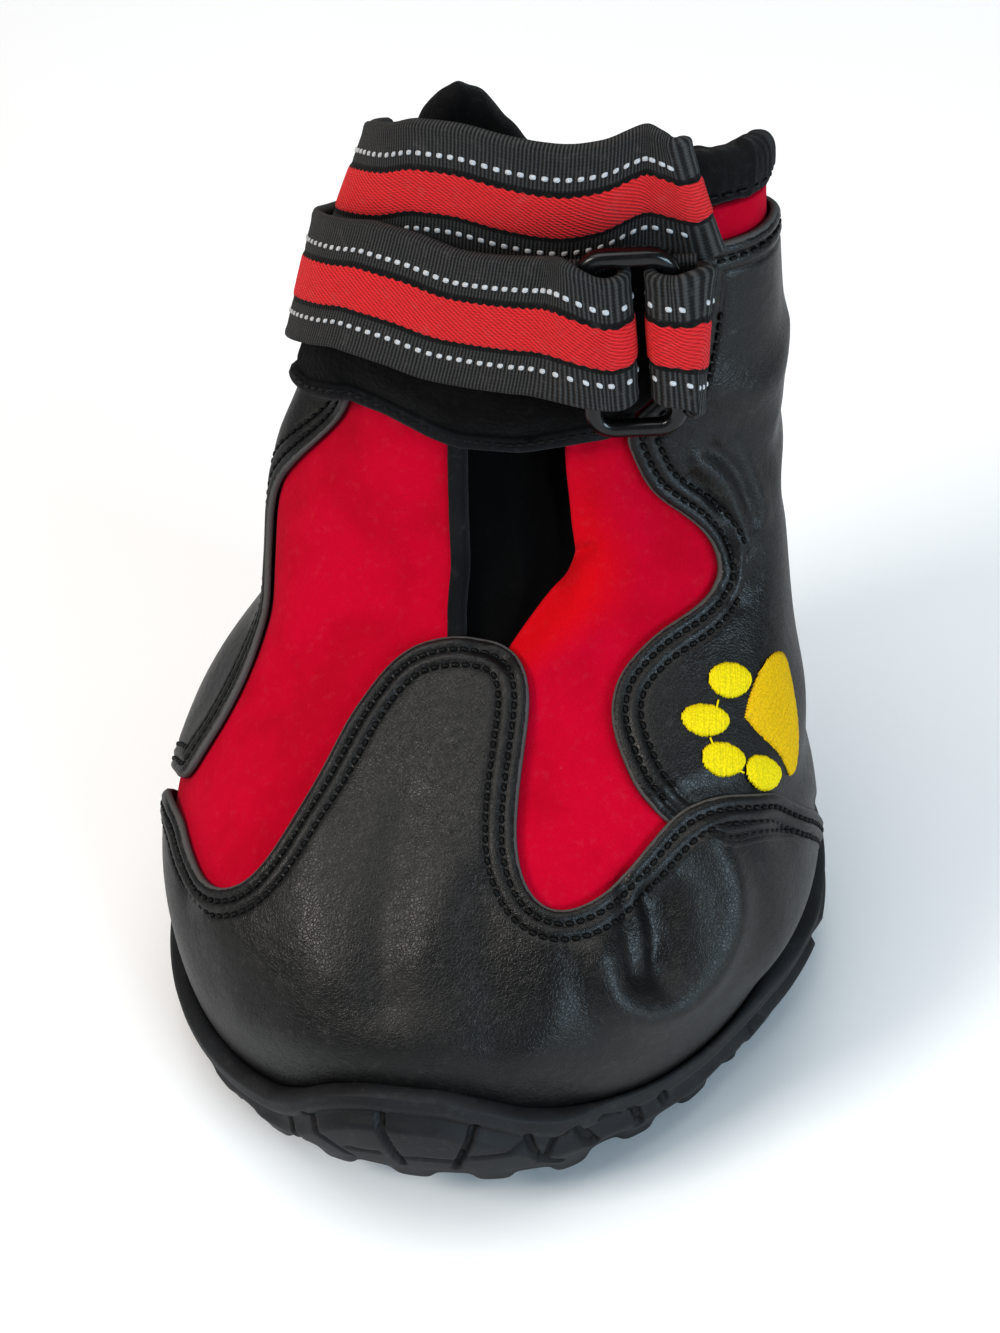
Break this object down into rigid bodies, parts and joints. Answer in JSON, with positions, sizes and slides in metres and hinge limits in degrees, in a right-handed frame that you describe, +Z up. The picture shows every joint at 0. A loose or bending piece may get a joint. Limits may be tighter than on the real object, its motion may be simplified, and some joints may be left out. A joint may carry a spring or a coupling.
{
  "type": "dog boot",
  "caption": "Dog boot with a lugged rubber cup sole, leather toe cap and side panels over a red softshell shaft, a folded throat, and webbing straps through a ring.",
  "frame": {"origin": "centre of the whole boot's footprint at floor level", "axes": "+Z up; the toe points along -Y; the side with the ring and the paw print is +X"},
  "size_m": [0.0818, 0.0907, 0.1185],
  "materials": {
    "rubber": "satin",
    "leather": "satin",
    "softshell": "matte",
    "trim": "matte",
    "webbing": "matte",
    "plastic": "gloss",
    "foam": "matte"
  },
  "bodies": {
    "root": {"outsole": "rubber", "insole": "foam", "upper": "softshell", "toe_cap": "leather", "heel_panel": "leather", "gusset": "trim", "front_flap": "trim", "collar_binding": "trim", "ring": "plastic", "lower_strap": "webbing", "lower_anchor": "webbing", "upper_strap": "webbing"}
  },
  "joints": []
}
